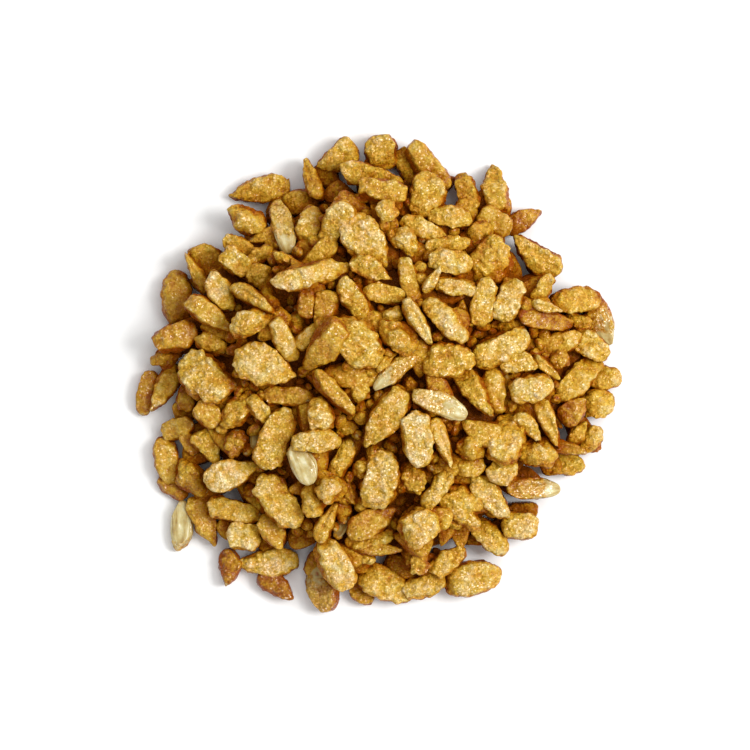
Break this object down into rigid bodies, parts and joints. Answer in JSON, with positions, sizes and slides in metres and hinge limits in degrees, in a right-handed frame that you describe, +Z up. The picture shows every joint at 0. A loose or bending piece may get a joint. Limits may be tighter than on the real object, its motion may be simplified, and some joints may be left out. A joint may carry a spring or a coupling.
{
  "type": "heap of candied sunflower seeds",
  "caption": "Loose low heap of candied sunflower kernels in a grainy golden sugar crust, with a few bare, pale and toasted ones, resting on a flat base.",
  "frame": {"origin": "on the table under the middle of the heap, in the plane of its flat base", "axes": "+Z is up. +Y is away from the viewer, the top of the picture. +X is to the right of the picture."},
  "size_m": [0.0973, 0.0956, 0.0204],
  "materials": {
    "sugar_crust": "grainy satin golden sugar crust",
    "bare_kernel": "smooth satin, fine lengthwise grain",
    "toasted_crust": "grainy satin dark caramel"
  },
  "bodies": {
    "root": {"seed_heap": "sugar_crust"}
  },
  "joints": []
}
